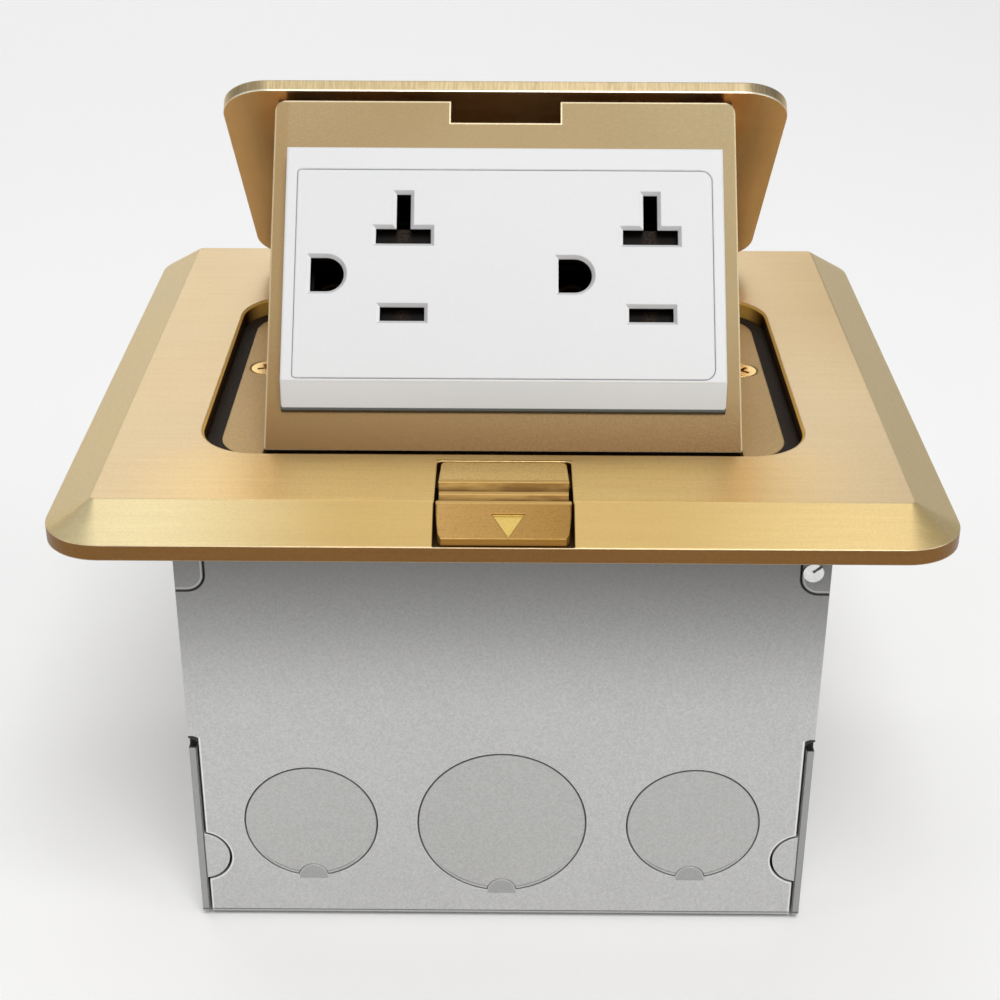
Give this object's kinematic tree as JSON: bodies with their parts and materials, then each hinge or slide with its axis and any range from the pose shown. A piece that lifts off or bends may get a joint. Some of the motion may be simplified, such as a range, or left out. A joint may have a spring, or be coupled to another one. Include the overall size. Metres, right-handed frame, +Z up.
{
  "type": "floor socket box",
  "caption": "Pop-up floor socket box: steel back box with knockouts, bevelled brass floor plate with sliding latch, and a spring-lifted carrier with a receptacle under a brass lid.",
  "frame": {"origin": "centre of the box underside", "axes": "+Z up out of the floor, -Y the front side where the latch is, +X to the right seen from the front"},
  "size_m": [0.1344, 0.1222, 0.1322],
  "materials": {
    "brass_plate": "satin, fine brushed",
    "lid_brass": "satin, fine brushed",
    "latch_brass": "satin, fine brushed",
    "gold_paint": "sand-textured metallic gold paint",
    "zinc_sheet": "satin zinc-plated sheet",
    "zinc_knockout": "satin zinc-plated sheet",
    "bracket_steel": "zinc-plated",
    "spring_steel": "oiled spring wire",
    "screw_steel": "bright zinc",
    "brass_screw": "polished",
    "gasket_rubber": "matte, fine-grained",
    "white_plastic": "smooth, semi-gloss",
    "housing_plastic": "smooth",
    "shutter_plastic": "smooth",
    "contact_brass": "stamped strip",
    "green_screw": "green dyed zinc",
    "nickel_screw": "nickel plated"
  },
  "bodies": {
    "box": {"flange_plate": "brass_plate", "mounting_frame": "gold_paint", "lid_gasket": "gasket_rubber", "frame_screws": "brass_screw", "flange_screws": "screw_steel", "box_wrap": "zinc_sheet", "knockouts_half_inch": "zinc_knockout", "knockouts_three_quarter": "zinc_knockout", "box_side_left": "zinc_sheet", "box_side_right": "zinc_sheet", "ear_screw": "screw_steel", "box_earth_screw": "green_screw", "hinge_bracket_left": "bracket_steel", "hinge_bracket_right": "bracket_steel", "hinge_pin": "screw_steel", "hinge_clips": "spring_steel", "torsion_springs": "spring_steel", "latch_springs": "spring_steel"},
    "latch": {"latch_button": "latch_brass", "latch_catch": "spring_steel", "latch_rivets": "screw_steel"},
    "popup": {"lid_plate": "lid_brass", "carrier": "gold_paint", "cross_tie": "bracket_steel", "lid_screws": "screw_steel", "receptacle_surround": "white_plastic", "receptacle_face": "white_plastic", "mounting_strap": "bracket_steel", "receptacle_body": "housing_plastic", "hot_contacts": "contact_brass", "neutral_contacts": "contact_brass", "ground_contacts": "contact_brass", "hot_terminal_screws": "brass_screw", "neutral_terminal_screws": "nickel_screw", "earth_terminal_screw": "green_screw", "strap_screws": "screw_steel", "shutter_spring_left": "spring_steel", "shutter_spring_right": "spring_steel"},
    "shutter_left": {"shutter_left": "shutter_plastic"},
    "shutter_right": {"shutter_right": "shutter_plastic"}
  },
  "joints": [
    {"name": "popup_tilt", "type": "hinge", "parent": "box", "child": "popup", "pos_m": [0, 0.0385, 0.0602], "axis": [1, 0, 0], "range_deg": [0, 45.7], "stiffness_Nm_per_rad": 0.25, "springref_deg": -51.57, "deforming": ["torsion_springs", "latch_catch"]},
    {"name": "latch_slide", "type": "slide", "parent": "box", "child": "latch", "axis": [0, -1, 0], "range_m": [0, 0.003], "stiffness_N_per_m": 300, "springref_m": -0.003, "deforming": ["latch_springs"]},
    {"name": "shutter_left_slide", "type": "slide", "parent": "popup", "child": "shutter_left", "axis": [0, -0.632, -0.7749], "range_m": [0, 0.003], "stiffness_N_per_m": 120, "springref_m": -0.003, "deforming": ["shutter_spring_left"]},
    {"name": "shutter_right_slide", "type": "slide", "parent": "popup", "child": "shutter_right", "axis": [0, -0.632, -0.7749], "range_m": [0, 0.003], "stiffness_N_per_m": 120, "springref_m": -0.003, "deforming": ["shutter_spring_right"]}
  ]
}
